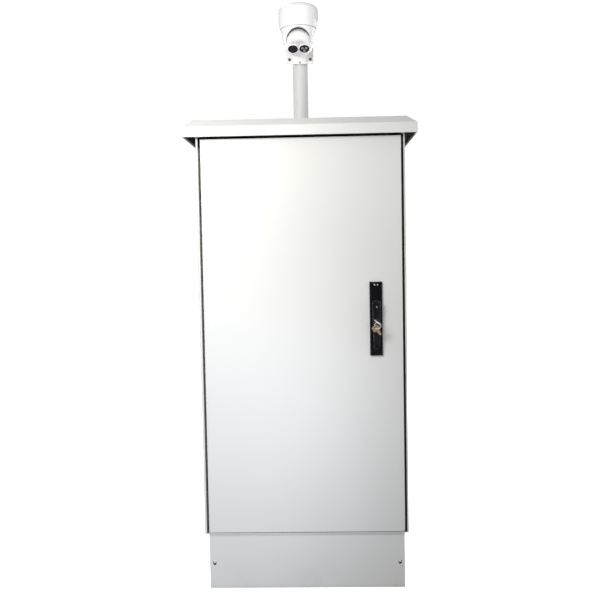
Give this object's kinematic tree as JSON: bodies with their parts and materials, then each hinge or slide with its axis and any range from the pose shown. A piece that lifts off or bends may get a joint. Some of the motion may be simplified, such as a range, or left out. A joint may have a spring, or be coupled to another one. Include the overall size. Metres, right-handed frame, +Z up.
{
  "type": "outdoor distribution cabinet",
  "caption": "Floor-standing outdoor sheet-steel distribution cabinet with a flush door, rod lock, rain canopy and a roof mast carrying a pan and tilt eyeball camera.",
  "frame": {"origin": "on the floor under the middle of the cabinet, at the centre of the anchor hole pattern", "axes": "+Z up, the door faces -Y, +X is the lock side as seen from the front"},
  "size_m": [0.666, 0.5855, 1.715],
  "materials": {
    "body_paint": "satin light grey powder coat",
    "black_foam": "black soffit strip",
    "gasket_rubber": "soft black seal",
    "zinc_steel": "zinc plated",
    "black_plastic": "moulded black",
    "lock_black": "satin black",
    "nickel": "nickel plated",
    "key_brass": "worn brass",
    "camera_white": "gloss white",
    "camera_face_grey": "pale grey face",
    "camera_glass": "dark window",
    "brown_screw": "browned zinc",
    "breaker_black": "moulded black",
    "breaker_white": "moulded pale grey",
    "lever_black": "moulded black",
    "supply_metal": "folded aluminium",
    "terminal_beige": "moulded beige",
    "bar_brass": "drilled bar"
  },
  "bodies": {
    "cabinet": {"plinth_frame": "body_paint", "plinth_front_panel": "body_paint", "plinth_screws": "zinc_steel", "left_side_panel": "body_paint", "right_side_panel": "body_paint", "back_panel": "body_paint", "top_plate": "body_paint", "floor_plate": "body_paint", "header_rail": "body_paint", "sill_rail": "body_paint", "gland_plate": "zinc_steel", "cable_glands": "black_plastic", "canopy": "body_paint", "canopy_soffit": "black_foam", "canopy_bolts": "zinc_steel", "mast": "body_paint", "mast_backing_plate": "zinc_steel", "mast_bolts": "zinc_steel", "mast_cap": "black_plastic", "camera_bracket": "camera_white", "bracket_screws": "brown_screw", "hinge_frame_leaves": "zinc_steel", "hinge_pins": "zinc_steel", "mounting_plate": "zinc_steel", "plate_studs": "zinc_steel", "mounting_rails": "zinc_steel", "main_breaker": "breaker_black", "branch_breaker_1": "breaker_white", "branch_breaker_2": "breaker_white", "branch_breaker_3": "breaker_white", "surge_protector": "breaker_white", "power_supply": "supply_metal", "terminal_blocks": "terminal_beige", "earth_bar": "bar_brass", "neutral_bar": "bar_brass"},
    "main_switch": {"main_lever": "lever_black"},
    "branch_switch_1": {"branch_lever_1": "lever_black"},
    "branch_switch_2": {"branch_lever_2": "lever_black"},
    "branch_switch_3": {"branch_lever_3": "lever_black"},
    "door": {"door_panel": "body_paint", "door_gasket": "gasket_rubber", "door_stiffeners": "body_paint", "hinge_door_leaves": "zinc_steel", "lock_dish": "lock_black", "lock_backing_plate": "zinc_steel", "rod_guides": "zinc_steel"},
    "spindle": {"lock_spindle": "zinc_steel", "lock_cam": "zinc_steel"},
    "handle": {"swing_handle": "lock_black", "handle_pin": "zinc_steel"},
    "key": {"lock_barrel": "zinc_steel", "lock_key": "nickel"},
    "key_bunch": {"key_ring": "nickel", "spare_key": "key_brass"},
    "upper_rod": {"upper_lock_rod": "zinc_steel"},
    "lower_rod": {"lower_lock_rod": "zinc_steel"},
    "camera_turret": {"camera_base": "camera_white"},
    "camera_eye": {"camera_ball": "camera_white", "camera_face": "camera_face_grey", "camera_windows": "camera_glass"}
  },
  "joints": [
    {"name": "door_hinge", "type": "hinge", "parent": "cabinet", "child": "door", "pos_m": [-0.276, -0.242, 0.7465], "axis": [0, 0, -1], "range_deg": [0, 105]},
    {"name": "handle_turn", "type": "hinge", "parent": "door", "child": "spindle", "pos_m": [0.2115, -0.25, 0.84], "axis": [0, 1, 0], "range_deg": [0, 90]},
    {"name": "handle_lift", "type": "hinge", "parent": "spindle", "child": "handle", "pos_m": [0.2115, -0.266, 0.84], "axis": [-1, 0, 0], "range_deg": [0, 35]},
    {"name": "key_turn", "type": "hinge", "parent": "handle", "child": "key", "pos_m": [0.2115, -0.268, 0.79], "axis": [0, 1, 0], "range_deg": [-42, 48]},
    {"name": "key_bunch_swing", "type": "hinge", "parent": "key", "child": "key_bunch", "pos_m": [0.2115, -0.2995, 0.79], "axis": [0.9945, 0, 0.1045], "range_deg": [-60, 5]},
    {"name": "upper_rod_slide", "type": "slide", "parent": "door", "child": "upper_rod", "axis": [0, 0, -1], "range_m": [0, 0.0256]},
    {"name": "lower_rod_slide", "type": "slide", "parent": "door", "child": "lower_rod", "axis": [0, 0, 1], "range_m": [0, 0.0256]},
    {"name": "camera_pan", "type": "hinge", "parent": "cabinet", "child": "camera_turret", "pos_m": [0, -0.155, 1.65], "axis": [0, 0, 1], "range_deg": [-170, 170]},
    {"name": "camera_tilt", "type": "hinge", "parent": "camera_turret", "child": "camera_eye", "pos_m": [0, -0.155, 1.612], "axis": [1, 0, 0], "range_deg": [-55, 20]},
    {"name": "main_switch_throw", "type": "hinge", "parent": "cabinet", "child": "main_switch", "pos_m": [-0.15, 0.136, 1.075], "axis": [1, 0, 0], "range_deg": [0, 60]},
    {"name": "branch_switch_1_throw", "type": "hinge", "parent": "cabinet", "child": "branch_switch_1", "pos_m": [-0.01, 0.137, 1.075], "axis": [1, 0, 0], "range_deg": [0, 70]},
    {"name": "branch_switch_2_throw", "type": "hinge", "parent": "cabinet", "child": "branch_switch_2", "pos_m": [0.009, 0.137, 1.075], "axis": [1, 0, 0], "range_deg": [0, 70]},
    {"name": "branch_switch_3_throw", "type": "hinge", "parent": "cabinet", "child": "branch_switch_3", "pos_m": [0.028, 0.137, 1.075], "axis": [1, 0, 0], "range_deg": [0, 70]}
  ],
  "couplings": [
    {"joint": "upper_rod_slide", "follows": "handle_turn", "m_per_rad": 0.016206},
    {"joint": "lower_rod_slide", "follows": "handle_turn", "m_per_rad": 0.016206}
  ]
}
